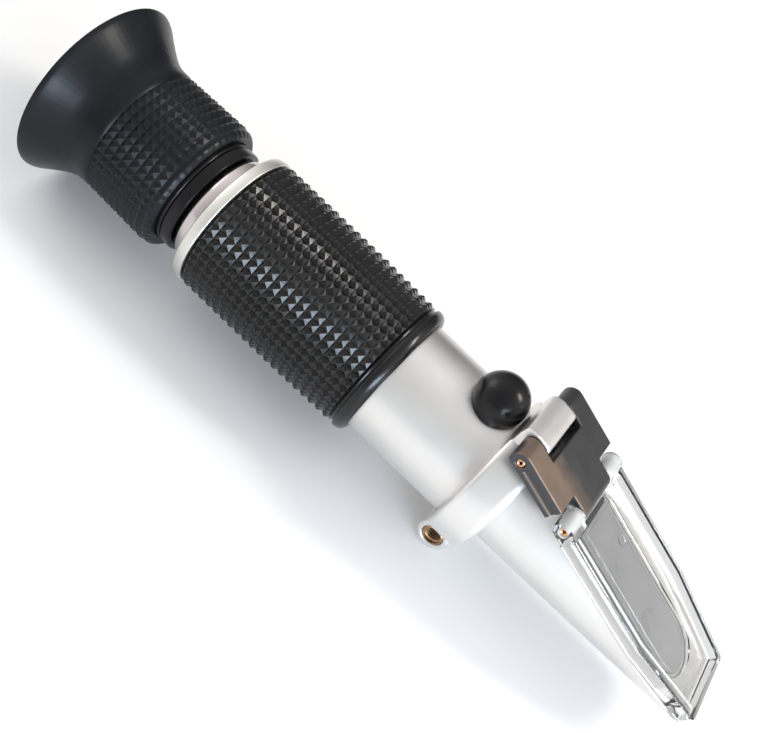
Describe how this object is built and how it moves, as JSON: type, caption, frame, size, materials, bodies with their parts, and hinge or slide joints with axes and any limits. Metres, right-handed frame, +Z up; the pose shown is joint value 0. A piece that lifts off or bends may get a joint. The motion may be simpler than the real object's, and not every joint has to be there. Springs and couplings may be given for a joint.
{
  "type": "handheld refractometer",
  "caption": "Handheld optical refractometer with rubber eyecup, focusing ring, knurled grip, capped calibration screw, slanted prism nose and hinged clear daylight plate.",
  "frame": {"origin": "the middle of the bounding box in X and Y, on the surface that the instrument lies on", "axes": "+X along the optical axis from the eyecup to the nose, +Z up, towards the side of the daylight plate"},
  "size_m": [0.1668, 0.0406, 0.0408],
  "materials": {
    "black_rubber": "satin, with a fine pyramid knurl",
    "gloss_black": "glossy",
    "satin_silver": "fine satin",
    "polished_metal": "polished, slightly warm",
    "hinge_grey": "satin dark grey",
    "copper_pin": "bright, reddish",
    "brass": "turned",
    "black_anodised": "matt black anodised",
    "spring_steel": "bright",
    "pale_sealant": "satin cement",
    "optical_glass": "polished",
    "clear_acrylic": "clear, moulded"
  },
  "bodies": {
    "barrel": {"main_barrel": "satin_silver", "grip_sleeve": "black_rubber", "shoulder_ring": "satin_silver", "eyepiece_tube": "polished_metal", "reticle_holder": "black_anodised", "reticle_disc": "optical_glass", "reticle_retaining_ring": "brass", "light_baffle": "black_anodised", "objective_cell": "black_anodised", "objective_lens": "optical_glass", "objective_retaining_ring": "brass", "strip_mount": "brass", "calibration_bush": "brass", "nose_housing": "satin_silver", "main_prism": "optical_glass", "prism_seal": "pale_sealant", "nose_o_ring": "black_rubber", "clamp_collar": "satin_silver", "thread_insert": "brass", "clamp_screw": "spring_steel", "rear_hinge_pin": "copper_pin"},
    "focus_carriage": {"lens_cell": "black_anodised", "eye_lens": "optical_glass", "lens_spacer": "black_anodised", "field_lens": "optical_glass", "eyepiece_retaining_ring": "brass"},
    "focus_control": {"focus_ring": "gloss_black", "eyecup": "black_rubber"},
    "rubber_cap": {"calibration_cap": "gloss_black"},
    "adjuster": {"compensator_frame": "black_anodised", "compensator_lens": "optical_glass", "bimetal_strip": "spring_steel"},
    "adjusting_screw": {"calibration_screw": "brass"},
    "link": {"hinge_link": "hinge_grey", "front_hinge_pin": "copper_pin"},
    "plate": {"daylight_plate": "clear_acrylic"}
  },
  "joints": [
    {"name": "focus_slide", "type": "slide", "parent": "barrel", "child": "focus_carriage", "axis": [-1, 0, 0], "range_m": [0, 0.004]},
    {"name": "focus_turn", "type": "hinge", "parent": "focus_carriage", "child": "focus_control", "pos_m": [-0.06339, 0, 0.02055], "axis": [-1, 0, 0], "range_deg": [0, 360]},
    {"name": "cap_pull", "type": "slide", "parent": "barrel", "child": "rubber_cap", "axis": [0, 0, 1], "range_m": [0, 0.008]},
    {"name": "adjuster_slide", "type": "slide", "parent": "barrel", "child": "adjuster", "axis": [0, 0, 1], "range_m": [-0.00035, 0.00035]},
    {"name": "calibration_turn", "type": "hinge", "parent": "adjuster", "child": "adjusting_screw", "pos_m": [0.01661, 0, 0.03255], "axis": [0, 0, 1], "range_deg": [-360, 360]},
    {"name": "link_hinge", "type": "hinge", "parent": "barrel", "child": "link", "pos_m": [0.02625, 0, 0.03766], "axis": [0, -1, 0], "range_deg": [0, 110]},
    {"name": "plate_hinge", "type": "hinge", "parent": "link", "child": "plate", "pos_m": [0.04029, 0, 0.03288], "axis": [0, -1, 0], "range_deg": [0, 80]}
  ],
  "couplings": [
    {"joint": "focus_slide", "follows": "focus_turn", "m_per_rad": 0.000636},
    {"joint": "calibration_turn", "follows": "adjuster_slide", "rad_per_m": 17952}
  ]
}
